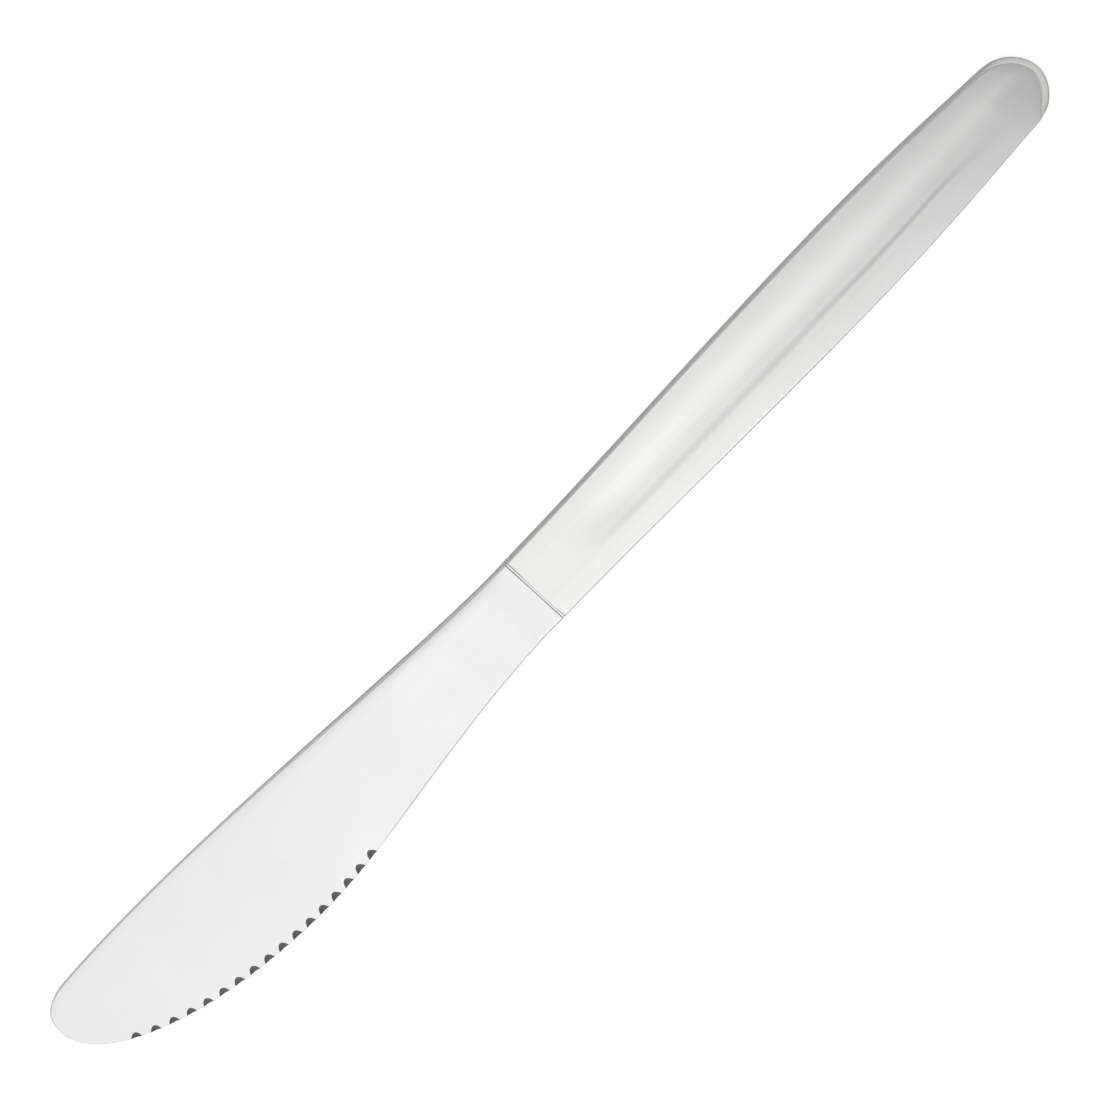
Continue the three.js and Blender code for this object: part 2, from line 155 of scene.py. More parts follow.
# Flute: its walls lie across the handle, the edge's wall first as it is by the mouth and then by the end
FLUTE_DEPTH = 0.23 * MM
FLUTE_START_FROM_MOUTH = (6.5 * MM, 19.5 * MM)
FLUTE_SPINE_WALL = (4.7 * MM, -0.6 * MM)
FLUTE_EDGE_WALL = ((-2.85 * MM, -1.15 * MM), (-2.5 * MM, -1.5 * MM))
FLUTE_EDGE_WALL_CHANGE = (45 * MM, 75 * MM)
FLUTE_FLOOR_RISE = 0.32
FLUTE_FLOOR_RISE_ACROSS = (0.6 * MM, -1.9 * MM)
FLUTE_NARROWING = 1.2 * MM
FLUTE_NARROWING_FROM_MOUTH = (62 * MM, 94 * MM)
FLUTE_NARROWING_BEND = 2.2
FLUTE_RUNOUT = 2.8 * MM
FLUTE_RUNOUT_FROM_MOUTH = (80 * MM, 96 * MM)

# Joint at the neck; the bead's points give a share of its width and an inset
JOINT_CHAMFER = 0.06 * MM
JOINT_CHAMFER_LENGTH = 0.1 * MM
SEAM_CHAMFER = 0.03 * MM
SOLDER_DEPTH = 1.1 * MM
BEAD_BY_NECK = ((0.0, 0.1 * MM), (0.12, 0.07 * MM), (0.3, 0.052 * MM))
BEAD_BY_MOUTH = ((0.7, 0.052 * MM), (0.88, 0.06 * MM), (1.0, 0.07 * MM))

# How finely the meshes are divided
CURVE_SAMPLES = 1500
BLADE_STATIONS = 270
BOLSTER_STATIONS = 40
HANDLE_STATIONS = 260
ROUND_END_STEPS = 96
BLADE_RIM_STEPS = 8
OUTER_RIM_STEPS = 10
INNER_RIM_STEPS = 5
WALL_SHARES = (0, 0.5)
WALL_SHARES_BY_SEAM = (0.04, 0.5)
BLADE_FACE_SHARES = (0.04, 0.09, 0.15, 0.25, 0.4, 0.6, 0.8, 1.0)
HANDLE_FACE_STEPS = 42
SCALLOP_SIDES = 72
NOTCH_STEPS = 16
TANG_END_STEPS = 32
NECK_CORNER_STEPS = 12
WELD = 1e-7
SHARP_ANGLE = math.radians(32)

# Steel: polishing lines along the knife, clouds in its sheen, and file marks at the joint, whose brightness
# across the neck is painted shade and reflection
EDGE_TINT = (0.5, 0.5, 0.5)
LINE_STRETCH = (60, 14000, 14000)
LINE_SCALE = 1.0
LINE_DETAIL = 5.0
LINE_DEPTH = 0.02 * MM
CLOUD_SCALE = 90.0
CLOUD_DETAIL = 3.0
NOISE_RANGE = (0.3, 0.7)
FILE_MARK_SCALE = 4000.0
FILE_MARK_DETAIL = 2.0
FILED_ROUGHNESS = (0.25, 0.45)
# Painted shade and reflection on the joint's chamfers: brightness by the share across the neck, edge to spine
FILED_NECK_PAINTED_SHADE = ((0.0, 0.35), (0.15, 0.28), (0.35, 0.5), (0.6, 0.5), (0.8, 0.27), (1.0, 0.25))
FILED_MOUTH_PAINTED_SHADE = ((0.0, 0.45), (0.07, 0.4), (0.18, 0.8), (0.6, 0.8), (0.8, 0.35), (1.0, 0.3))

# Cement inside the handle
CEMENT_DARK = (0.24, 0.225, 0.2)
CEMENT_LIGHT = (0.5, 0.48, 0.44)
CEMENT_ROUGHNESS = 0.95
GRAIN_SCALE = 1800.0
GRAIN_DETAIL = 6.0
GRAIN_BUMP = 0.5
GRAIN_DEPTH = 0.1 * MM

# Floor
FLOOR_SIDE = 8.0
FLOOR_DROP = 0.02 * MM
FLOOR_ALBEDO = 0.85
FLOOR_LIFT = 0.58
FLOOR_LIFT_MIRRORED = 0.36

# Panel of light: its place, and its brightness by X along the sides of the cutting edge and the spine
PANEL_X = (-0.8, -0.016)
PANEL_Y = (-0.44, 0.31)
PANEL_HEIGHT = 0.5
PANEL_BY_EDGE = (
    (-0.8, 0.84), (-0.4, 0.96), (-0.25, 0.94), (-0.15, 0.95), (-0.12, 1.4), (-0.09, 1.37), (-0.016, 1.48))
PANEL_BY_SPINE = (
    (-0.8, 0.38), (-0.4, 0.44), (-0.25, 0.43), (-0.15, 0.47), (-0.12, 0.85), (-0.09, 0.0), (-0.016, 0.0))

# Room: its brightness by the direction's X, low and high, and what its low part adds by the direction's Y
ROOM_LOW = ((-1.0, 0.8), (-0.6, 0.65), (0.0, 0.35), (1.0, 0.3))
ROOM_HIGH = (
    (-1.0, 0.66), (-0.65, 0.66), (-0.4, 0.62), (-0.25, 0.55), (0.0, 0.55), (0.5, 0.75), (1.0, 0.85))
ROOM_RISE = (0.35, 0.7)
ROOM_BY_EDGE = ((-1.0, 0.45), (-0.5, 0.3), (0.0, 0.0), (1.0, 0.0))

# Camera
VIEW_FROM = Vector((0.215, 0.13, 0.965)).normalized()
VIEW_TURN = math.radians(46.072)
VIEW_TARGET = Vector((0.000605, 0.00253, 0.0022))
VIEW_DISTANCE = 3.0
VIEW_WIDTH = 0.15275
VIEW_CLIP = (0.01, 50.0)
SENSOR = 36.0


def lerp(a, b, share):
    return a + (b - a) * share


def smooth(x, low, high):
    t = np.clip((x - low) / (high - low), 0, 1)
    return t * t * (3 - 2 * t)


def smoother(x, low, high):
    t = np.clip((x - low) / (high - low), 0, 1)
    return t * t * t * (t * (6 * t - 15) + 10)


# Curves

def bezier(a, b, c, d):
    t = np.linspace(0, 1, CURVE_SAMPLES)[:, None]
    a, b, c, d = (np.array(p) for p in (a, b, c, d))
    return a * (1 - t) ** 3 + 3 * b * t * (1 - t) ** 2 + 3 * c * t * t * (1 - t) + d * t ** 3


def upright(start, end, fullness):
    """A curve that leaves its start across the knife and reaches its end along it."""
    leave = (start[0], lerp(start[1], end[1], fullness[0]))
    arrive = (lerp(end[0], start[0], fullness[1]), end[1])
    return bezier(start, leave, arrive, end)


def level(start, end, fullness):
    """A curve that runs along the knife at both its ends."""
    leave = (lerp(start[0], end[0], fullness[0]), start[1])
    arrive = (lerp(end[0], start[0], fullness[1]), end[1])
    return bezier(start, leave, arrive, end)


def spaced(path, count):
    """count + 1 points evenly spaced along a path."""
    along = np.concatenate([[0], np.cumsum(np.hypot(*np.diff(path, axis=0).T))])
    places = np.linspace(0, along[-1], count + 1)
    return np.column_stack([np.interp(places, along, path[:, i]) for i in (0, 1)])


def inward(points):
    """Unit normals to the left of a path."""
    step = np.gradient(points, axis=0)
    step /= np.hypot(*step.T)[:, None]
    return np.column_stack([-step[:, 1], step[:, 0]])


# Meshes

def dome(columns, normals, centres, radius, draft, height, wall_shares, corner_steps, face_shares):
    """Rows of points that climb from a form's middle plane, over its rounded rim, in to its centre line."""
    rows = []
    tall = height(columns[:, 0], columns[:, 1])
    for share in wall_shares:
        rise = share * (tall - radius)
        inset = draft * rise / tall
        rows.append(np.column_stack([columns + normals * inset[:, None], rise]))
    for step in range(corner_steps + 1):
        angle = math.pi / 2 * step / corner_steps
        drop = radius * (1 - math.sin(angle))
        inset = radius * (1 - math.cos(angle)) + draft * (1 - drop / tall)
        place = columns + normals * inset[:, None]
        rows.append(np.column_stack([place, height(place[:, 0], place[:, 1]) - drop]))
    rim = place
    for share in face_shares:
        place = lerp(rim, centres, share)
        rows.append(np.column_stack([place, height(place[:, 0], place[:, 1])]))
    return np.array(rows)


def grid_faces(rows):
    count = rows.shape[1]
    return [
        (r * count + c, r * count + c + 1, (r + 1) * count + c + 1, (r + 1) * count + c)
        for r in range(rows.shape[0] - 1)
        for c in range(count - 1)
    ]


def welded(name, grids):
    """One closed mesh from grids of points, with every opening filled."""
    bm = bmesh.new()
    for grid in grids:
        flat = [bm.verts.new(p) for p in grid.reshape(-1, 3)]
        for face in grid_faces(grid):
            bm.faces.new([flat[i] for i in face])
    bmesh.ops.remove_doubles(bm, verts=bm.verts, dist=WELD)
    open_edges = [e for e in bm.edges if e.is_boundary]
    bmesh.ops.holes_fill(bm, edges=open_edges, sides=0)
    bmesh.ops.recalc_face_normals(bm, faces=bm.faces)
    mesh = bpy.data.meshes.new(name)
    bm.to_mesh(mesh)
    bm.free()
    return mesh


def placed(points):
    """Points measured from the handle's axis and the seam, as points of the frame."""
    return points + np.array([0, AXIS_Y, SEAM_Z])


def add_object(name, mesh):
    obj = bpy.data.objects.new(name, mesh)
    bpy.context.scene.collection.objects.link(obj)
    return obj


def shade(mesh, sharp_angle):
    """Smooth shading, with edges sharper than an angle left crisp."""
    bm = bmesh.new()
    bm.from_mesh(mesh)
    for face in bm.faces:
        face.smooth = True
    for edge in bm.edges:
        edge.smooth = len(edge.link_faces) == 2 and edge.calc_face_angle(0) < sharp_angle
    bm.to_mesh(mesh)
    bm.free()


def baked(obj):
    """The object's mesh with its modifiers applied."""
    graph = bpy.context.evaluated_depsgraph_get()
    mesh = bpy.data.meshes.new_from_object(obj.evaluated_get(graph))
    obj.modifiers.clear()
    obj.data = mesh
    return mesh


# Blade

tip = (TIP_X, TIP_HEIGHT)
nose_end = (TIP_X + SHOULDER_FROM_TIP, SHOULDER_HEIGHT)
belly = (TIP_X + BELLY_FROM_TIP, -BELLY_DEPTH)
spine_length = JOINT_X - nose_end[0]


def along_shoulder(run):
    return (nose_end[0] + run, nose_end[1] + run * SHOULDER_SLOPE)


nose_path = bezier(
    tip,
    (tip[0], lerp(tip[1], nose_end[1], NOSE_FULLNESS[0])),
    along_shoulder(-NOSE_FULLNESS[1] * SHOULDER_FROM_TIP),
    nose_end,
)
spine_path = np.vstack([nose_path, bezier(
    nose_end,
    along_shoulder(SPINE_FULLNESS[0] * spine_length),
    (JOINT_X - SPINE_FULLNESS[1] * spine_length, NECK_HALF),
    (JOINT_X, NECK_HALF),
)[1:]])
front_path = upright(tip, belly, BELLY_FULLNESS)
edge_path = np.vstack([front_path, level(belly, (JOINT_X, -NECK_HALF), HEEL_FULLNESS)[1:]])


def spine_y(x):
    return np.interp(x, spine_path[:, 0], spine_path[:, 1])


def edge_y(x):
    return np.interp(x, edge_path[:, 0], edge_path[:, 1])


def flare(x):
    """How far the bolster has swollen toward the handle, from 0 to 1."""
    return np.clip((x - JOINT_X + BOLSTER_LENGTH) / BOLSTER_LENGTH, 0, 1) ** BOLSTER_FULLNESS


def taper(x):
    """How far the spine has thickened toward the neck, from 0 to 1."""
    return smooth(x, TIP_X + TAPER_FROM_TIP, TIP_X + TAPER_FROM_TIP + TAPER_LENGTH)


def spine_half(x):
    return lerp(lerp(SPINE_AT_TIP, SPINE_AT_NECK, taper(x)) / 2, HALF_THICK, flare(x))


def edge_half(x):
    heel = smooth(x, TIP_X + HEEL_FROM_TIP, JOINT_X - BOLSTER_LENGTH)
    return lerp(lerp(EDGE_AT_TIP, EDGE_AT_NECK, heel) / 2, HALF_THICK, flare(x))


def blade_height(x, y):
    """Half thickness of the blade: a wedge, convex by the tip, that falls at the spine and the joint."""
    station = np.maximum(x, TIP_X + NOSE_PLANE_FROM_TIP)
    low = edge_y(station)
    share = np.clip((y - low) / (spine_y(station) - low), 0, 1)
    chamfer = JOINT_CHAMFER * np.clip((x - JOINT_X) / JOINT_CHAMFER_LENGTH + 1, 0, 1)
    from_tip = x - TIP_X
    full = 1 - (1 - share) ** lerp(*GRIND_FULLNESS, smooth(from_tip, *GRIND_CHANGE_FROM_TIP))
    near_spine = np.clip(1 - (spine_y(x) - y) / SPINE_FALL_WIDTH, 0, 1)
    fall = lerp(*SPINE_FALL, taper(x)) * near_spine ** 2 * (1 - flare(x))
    return lerp(edge_half(x), spine_half(x), lerp(full, share, flare(x))) - fall - chamfer


def blade_mesh():
    pole_x = TIP_X + NOSE_POLE_FROM_TIP
    before_chamfer = JOINT_X - JOINT_CHAMFER_LENGTH
    stations = np.concatenate([
        np.linspace(pole_x, JOINT_X - BOLSTER_LENGTH, BLADE_STATIONS, endpoint=False),
        np.linspace(JOINT_X - BOLSTER_LENGTH, before_chamfer, BOLSTER_STATIONS),
    ])
    around = np.vstack([
        nose_path[nose_path[:, 0] <= pole_x][::-1],
        front_path[front_path[:, 0] <= pole_x][1:],
    ])
    nose = spaced(around, ROUND_END_STEPS)[1:-1]
    top = np.column_stack([stations, spine_y(stations)])[::-1]
    bottom = np.column_stack([stations, edge_y(stations)])
    columns = np.vstack([top, nose, bottom])
    normals = inward(columns)
    drawn_in = NECK_HALF - JOINT_CHAMFER
    columns = np.vstack([[(JOINT_X, drawn_in)], columns, [(JOINT_X, -drawn_in)]])
    normals = np.vstack([[(0, -1)], normals, [(0, 1)]])
    centre_x = np.maximum(columns[:, 0], pole_x)
    centres = np.column_stack([centre_x, (spine_y(centre_x) + edge_y(centre_x)) / 2])
    share = np.clip((columns[:, 1] - edge_y(centre_x)) / (spine_y(centre_x) - edge_y(centre_x)), 0, 1)
    spine_share = smooth(share, 0.0, 1.0)
    from_tip = columns[:, 0] - TIP_X
    edge_round = lerp(*EDGE_ROUND, smooth(from_tip, *EDGE_ROUND_FROM_TIP))
    neck_round = lerp(*RIM_ROUND, spine_share)
    radius = lerp(lerp(edge_round, SPINE_ROUND, spine_share), neck_round, flare(columns[:, 0]))
    radius = lerp(radius, NOSE_ROUND, smooth(from_tip, *NOSE_ROUND_FROM_TIP))
    upright_walls = np.zeros(len(columns))
    rows = dome(
        columns, normals, centres, radius, upright_walls, blade_height,
        WALL_SHARES, BLADE_RIM_STEPS, BLADE_FACE_SHARES)
    back = rows * np.array([1, 1, -1])
    return welded("ground_blade", [placed(rows), placed(back)])


def prism(name, outline, half_thick):
    """A flat bar of a given outline, closed above and below."""
    top = np.column_stack([outline, np.full(len(outline), half_thick)])
    bm = bmesh.new()
    lid = bm.faces.new([bm.verts.new(p) for p in placed(top)])
    grown = bmesh.ops.extrude_face_region(bm, geom=[lid])
    moved = [v for v in grown["geom"] if isinstance(v, bmesh.types.BMVert)]
    bmesh.ops.translate(bm, verts=moved, vec=(0, 0, -2 * half_thick))
    bmesh.ops.recalc_face_normals(bm, faces=bm.faces)
    mesh = bpy.data.meshes.new(name)
    bm.to_mesh(mesh)
    bm.free()
    return mesh


def arc(centre, radius, start, end, steps):
    angles = np.radians(np.linspace(start, end, steps + 1))
    return np.column_stack([centre[0] + radius * np.cos(angles), centre[1] + radius * np.sin(angles)])


def tang_outline():
    notches = [MOUTH_X + NOTCH_FROM_MOUTH + i * NOTCH_PITCH for i in range(NOTCH_COUNT)]
    start = JOINT_X - TANG_ROOT
    lower = [[(start, -TANG_HALF)]]
    lower += [arc((x, -TANG_HALF), NOTCH_RADIUS, 180, 0, NOTCH_STEPS) for x in notches]
    side = np.vstack(lower)
    round_end = arc((TANG_END_X - TANG_HALF, 0), TANG_HALF, -90, 90, TANG_END_STEPS)
    return np.vstack([side, round_end, (side * np.array([1, -1]))[::-1]])


def edge_angle(x):
    rise = edge_y(x + SCALLOP_RADIUS) - edge_y(x - SCALLOP_RADIUS)
    return math.atan2(rise, 2 * SCALLOP_RADIUS)


def scallop_cutters():
    """Round rims, square to the edge and tilted to the face, that cut one arch each."""
    bm = bmesh.new()
    tilt = Matrix.Rotation(SCALLOP_TILT - math.pi / 2, 4, "X")
    for i in range(SCALLOP_COUNT):
        x = TIP_X + SCALLOP_FROM_TIP + i * SCALLOP_PITCH
        line = edge_y(x)
        tall = lerp(*SCALLOP_HEIGHT, smooth(x - TIP_X, *SCALLOP_CHANGE_FROM_TIP))
        above = tall - SCALLOP_RADIUS * math.sin(SCALLOP_TILT)
        out = blade_height(x, line) + SCALLOP_RADIUS * math.cos(SCALLOP_TILT)
        shift = Matrix.Translation(Vector((0, above, out)))
        turn = Matrix.Rotation(edge_angle(x), 4, "Z")
        place = Matrix.Translation(Vector((x, line + AXIS_Y, SEAM_Z)))
        bmesh.ops.create_cone(
            bm, cap_ends=True, segments=SCALLOP_SIDES, radius1=SCALLOP_RADIUS,
            radius2=SCALLOP_RADIUS, depth=2 * SCALLOP_REACH, matrix=place @ turn @ shift @ tilt)
    mesh = bpy.data.meshes.new("scallop_cutters")
    bm.to_mesh(mesh)
    bm.free()
    return mesh


def boolean(obj, other, operation):
    step = obj.modifiers.new(operation.lower(), "BOOLEAN")
    step.operation = operation
    step.solver = "EXACT"
    step.object = other
    step.material_mode = "TRANSFER"


# Handle

widest = (MOUTH_X + WIDEST_FROM_MOUTH, HALF_WIDE)
shoulder = (END_X - END_LENGTH, END_HALF)
closing = TAIL_FULLNESS[1] * (shoulder[0] - widest[0])
rounding = END_FULLNESS[0] * END_LENGTH
side_path = np.vstack([
    level((MOUTH_X, NECK_HALF), widest, SIDE_FULLNESS),
    bezier(
        widest,
        (lerp(widest[0], shoulder[0], TAIL_FULLNESS[0]), HALF_WIDE),
        (shoulder[0] - closing, END_HALF + closing * END_SLOPE),
        shoulder,
    )[1:],
    bezier(
        shoulder,
        (shoulder[0] + rounding, END_HALF - rounding * END_SLOPE),
        (END_X, END_FULLNESS[1] * END_HALF),
        (END_X, 0),
    )[1:],
])


def flute(x, y):
    """Depth of the flute in the handle's face, with a soft wall by the spine and a short one by the edge."""
    place = x - MOUTH_X
    begun = smooth(place, *FLUTE_START_FROM_MOUTH)
    narrow_from, narrow_to = FLUTE_NARROWING_FROM_MOUTH
    narrowing = np.clip((place - narrow_from) / (narrow_to - narrow_from), 0, 1)
    across = y - FLUTE_NARROWING * narrowing ** FLUTE_NARROWING_BEND
    floor_share = 1 - FLUTE_FLOOR_RISE * smooth(across, *FLUTE_FLOOR_RISE_ACROSS)
    change = smooth(place, *FLUTE_EDGE_WALL_CHANGE)
    runout = FLUTE_RUNOUT * smooth(place, *FLUTE_RUNOUT_FROM_MOUTH)
    wall_low, wall_high = (lerp(near, far, change) for near, far in zip(*FLUTE_EDGE_WALL))
    walls = smoother(y, *FLUTE_SPINE_WALL) * smoother(across, wall_low - runout, wall_high + runout)
    return FLUTE_DEPTH * begun * floor_share * walls


def face_height(x, y):
    """Half thickness of the handle over its fluted faces, which fall gently toward the end."""
    fall = END_FALL * np.clip((x - END_X) / END_FALL_LENGTH + 1, 0, 1) ** 2
    return HALF_THICK - flute(x, y) - fall


def outer_height(x, y):
    """The outer skin: the faces also fall a little toward their rims and are chamfered at the joint."""
    chamfer = JOINT_CHAMFER * np.clip(1 - (x - MOUTH_X) / JOINT_CHAMFER_LENGTH, 0, 1)
    to_rim = np.interp(x, side_path[:, 0], side_path[:, 1]) - np.abs(y)
    fall = FACE_FALL * np.clip(1 - to_rim / FACE_FALL_WIDTH, 0, 1) ** 2
    return face_height(x, y) - fall - chamfer


def inner_height(x, y):
    return face_height(x, y) - SHELL_WALL


def shell_mesh(name, side):
    """One pressing, side 1 in front and -1 behind: two skins joined at the seam and the mouth."""
    pole_x = END_X - END_POLE_FROM_END
    after_chamfer = MOUTH_X + JOINT_CHAMFER_LENGTH
    stations = np.linspace(after_chamfer, pole_x, HANDLE_STATIONS)
    side_y = np.interp(stations, side_path[:, 0], side_path[:, 1])
    around = side_path[side_path[:, 0] >= pole_x]
    around = np.vstack([[(pole_x, side_y[-1])], around, (around * np.array([1, -1]))[::-1][1:],
                        [(pole_x, -side_y[-1])]])
    end = spaced(around, ROUND_END_STEPS)[1:-1]
    lower = np.column_stack([stations, -side_y])
    upper = np.column_stack([stations, side_y])[::-1]
    columns = np.vstack([lower, end[::-1], upper])
    normals = inward(columns)
    drawn_in = NECK_HALF - JOINT_CHAMFER
    columns = np.vstack([[(MOUTH_X, -drawn_in)], columns, [(MOUTH_X, drawn_in)]])
    normals = np.vstack([[(0, 1)], normals, [(0, -1)]])
    centres = np.column_stack([np.minimum(columns[:, 0], pole_x), np.zeros(len(columns))])
    shares = np.linspace(0, 1, HANDLE_FACE_STEPS + 1)[1:]
    spine_share = smooth(columns[:, 1], -NECK_HALF, NECK_HALF)
    near_end = smooth(columns[:, 0], END_X - lerp(*END_DRAFT_START, spine_share), END_X - END_DRAFT_FULL)
    draft = lerp(*END_DRAFT, spine_share) * near_end
    outer_round = lerp(*RIM_ROUND, spine_share)
    outer = dome(
        columns, normals, centres, outer_round, draft, outer_height,
        WALL_SHARES_BY_SEAM, OUTER_RIM_STEPS, shares)
    seam_row = np.column_stack([columns + normals * SEAM_CHAMFER, np.zeros(len(columns))])
    outer = np.concatenate([seam_row[None], outer])
    inner_columns = columns + normals * SHELL_WALL
    inner_columns[0, 0] = MOUTH_X
    inner_columns[-1, 0] = MOUTH_X
    inner_round = np.full(len(columns), INNER_ROUND)
    inner = dome(
        inner_columns, normals, centres, inner_round, draft, inner_height,
        WALL_SHARES, INNER_RIM_STEPS, shares)
    seam = np.stack([outer[0], inner[0]])
    flip = np.array([1, 1, side])
    return welded(name, [placed(rows * flip) for rows in (outer, inner, seam)])


# Solder ring

def neck_section(inset, x):
    """The neck's rounded section drawn in by an inset, counter-clockwise from the spine side."""
    wide = NECK_HALF - inset
    tall = HALF_THICK - inset
    points = []
    for cy, cz, start in ((1, 1, 0), (-1, 1, 90), (-1, -1, 180), (1, -1, 270)):
        radius = RIM_ROUND[cy > 0] - inset
        centre = (cy * (wide - radius), cz * (tall - radius))
        points.append(arc(centre, radius, start, start + 90, NECK_CORNER_STEPS))
    loop = np.vstack(points + [points[0][:1]])
    return np.column_stack([np.full(len(loop), x), loop])


def solder_mesh():
    width = MOUTH_X - JOINT_X
    outside = BEAD_BY_NECK + ((0.5, SOLDER_INSET),) + BEAD_BY_MOUTH
    inside = ((1.0, SOLDER_DEPTH), (0.0, SOLDER_DEPTH))
    profile = outside + inside + outside[:1]
    rows = np.array([neck_section(inset, JOINT_X + share * width) for share, inset in profile])
    return welded("solder_bead", [placed(rows)])


# Finishes

def node_material(name):
    material = bpy.data.materials.new(name)
    material.use_nodes = True
    return material, material.node_tree, material.node_tree.nodes["Principled BSDF"]


def colour_ramp(tree, value, stops):
    """Colour that follows a value from 0 to 1 through stops of value and colour."""
    ramp = tree.nodes.new("ShaderNodeValToRGB")
    elements = ramp.color_ramp.elements
    while len(elements) < len(stops):
        elements.new(0.5)
    for element, (position, colour) in zip(elements, stops):
        element.position = position
        element.color = (*colour, 1)
    tree.links.new(value, ramp.inputs["Fac"])
    return ramp.outputs["Color"]


def grey_ramp(tree, value, stops):
    """Brightness that follows a value from 0 to 1 through stops of value and brightness."""
    return colour_ramp(tree, value, [(place, (tone, tone, tone)) for place, tone in stops])


def mapped(tree, value, source=(0, 1), target=(0, 1)):
    """A value carried over from one range to another."""
    change = tree.nodes.new("ShaderNodeMapRange")
    for socket, limit in zip(("From Min", "From Max", "To Min", "To Max"), (*source, *target)):
        change.inputs[socket].default_value = limit
    tree.links.new(value, change.inputs["Value"])
    return change.outputs["Result"]


def noise(tree, place, scale, detail):
    texture = tree.nodes.new("ShaderNodeTexNoise")
    texture.inputs["Scale"].default_value = scale
    texture.inputs["Detail"].default_value = detail
    tree.links.new(place, texture.inputs["Vector"])
    return texture.outputs["Fac"]


def add_bump(tree, shader, height, strength, depth):
    bump = tree.nodes.new("ShaderNodeBump")
    bump.inputs["Strength"].default_value = strength
    bump.inputs["Distance"].default_value = depth
    tree.links.new(height, bump.inputs["Height"])
    tree.links.new(bump.outputs["Normal"], shader.inputs["Normal"])


def steel(name, dark, light, roughness, line_bump):
    """Bare metal with long faint lines and a cloudy sheen, from polished to rough."""
    material, tree, shader = node_material(name)
    shader.inputs["Metallic"].default_value = 1.0
    shader.inputs["Specular Tint"].default_value = (*EDGE_TINT, 1)
    where = tree.nodes.new("ShaderNodeTexCoord").outputs["Object"]
    stretch = tree.nodes.new("ShaderNodeMapping")
    stretch.inputs["Scale"].default_value = LINE_STRETCH
    tree.links.new(where, stretch.inputs["Vector"])
    lines = noise(tree, stretch.outputs["Vector"], LINE_SCALE, LINE_DETAIL)
    clouds = noise(tree, where, CLOUD_SCALE, CLOUD_DETAIL)
    sheen = colour_ramp(tree, clouds, tuple(zip(NOISE_RANGE, (dark, light))))
    tree.links.new(sheen, shader.inputs["Base Color"])
    tree.links.new(mapped(tree, lines, NOISE_RANGE, roughness), shader.inputs["Roughness"])
    add_bump(tree, shader, lines, line_bump, LINE_DEPTH)
    return material


def filed_with_painted_shade(name, stops):
    """Steel filed off along the joint, its file marks in the roughness; its brightness by the place across the
    neck, edge to spine, is painted shade and reflection.
    """
    material, tree, shader = node_material(name)
    shader.inputs["Metallic"].default_value = 1.0
    where = tree.nodes.new("ShaderNodeTexCoord").outputs["Object"]
    split = tree.nodes.new("ShaderNodeSeparateXYZ")
    tree.links.new(where, split.inputs[0])
    across = mapped(tree, split.outputs["Y"], source=(AXIS_Y - NECK_HALF, AXIS_Y + NECK_HALF))
    tree.links.new(grey_ramp(tree, across, stops), shader.inputs["Base Color"])
    marks = noise(tree, where, FILE_MARK_SCALE, FILE_MARK_DETAIL)
    tree.links.new(mapped(tree, marks, target=FILED_ROUGHNESS), shader.inputs["Roughness"])
    return material


def cast_cement():
    """Matt cast filler with a fine grain."""
    material, tree, shader = node_material("cast_cement")
    where = tree.nodes.new("ShaderNodeTexCoord").outputs["Object"]
    grain = noise(tree, where, GRAIN_SCALE, GRAIN_DETAIL)
    colour = colour_ramp(tree, grain, ((0.0, CEMENT_DARK), (1.0, CEMENT_LIGHT)))
    tree.links.new(colour, shader.inputs["Base Color"])
    shader.inputs["Roughness"].default_value = CEMENT_ROUGHNESS
    add_bump(tree, shader, grain, GRAIN_BUMP, GRAIN_DEPTH)
    return material


def white_paper():
    """Matt paper that also glows to the camera and in reflections, to look white and keep the shadow."""
    material, tree, shader = node_material("white_paper")
    tree.nodes.remove(shader)
    matt = tree.nodes.new("ShaderNodeBsdfDiffuse")
    matt.inputs["Color"].default_value = (FLOOR_ALBEDO, FLOOR_ALBEDO, FLOOR_ALBEDO, 1)
    glow = tree.nodes.new("ShaderNodeEmission")
    rays = tree.nodes.new("ShaderNodeLightPath").outputs
    lift = mapped(tree, rays["Is Camera Ray"], target=(FLOOR_LIFT_MIRRORED, FLOOR_LIFT))
    tree.links.new(lift, glow.inputs["Strength"])
    bright = tree.nodes.new("ShaderNodeAddShader")
    tree.links.new(matt.outputs[0], bright.inputs[0])
    tree.links.new(glow.outputs[0], bright.inputs[1])
    seen = rays["Is Camera Ray"]
    for other in (rays["Is Glossy Ray"], rays["Is Transmission Ray"]):
        either = tree.nodes.new("ShaderNodeMath")
        either.operation = "ADD"
        either.use_clamp = True
        tree.links.new(seen, either.inputs[0])
        tree.links.new(other, either.inputs[1])
        seen = either.outputs[0]
    choose = tree.nodes.new("ShaderNodeMixShader")
    tree.links.new(seen, choose.inputs["Fac"])
    tree.links.new(matt.outputs[0], choose.inputs[1])
    tree.links.new(bright.outputs[0], choose.inputs[2])
    tree.links.new(choose.outputs[0], tree.nodes["Material Output"].inputs["Surface"])
    return material


blade_steel = steel(
    "blade_steel", dark=(0.65, 0.641, 0.632), light=(0.67, 0.661, 0.652),
    roughness=(0.21, 0.25), line_bump=0.02)
handle_steel = steel(
    "handle_steel", dark=(0.643, 0.635, 0.61), light=(0.663, 0.654, 0.629),
    roughness=(0.21, 0.25), line_bump=0.02)
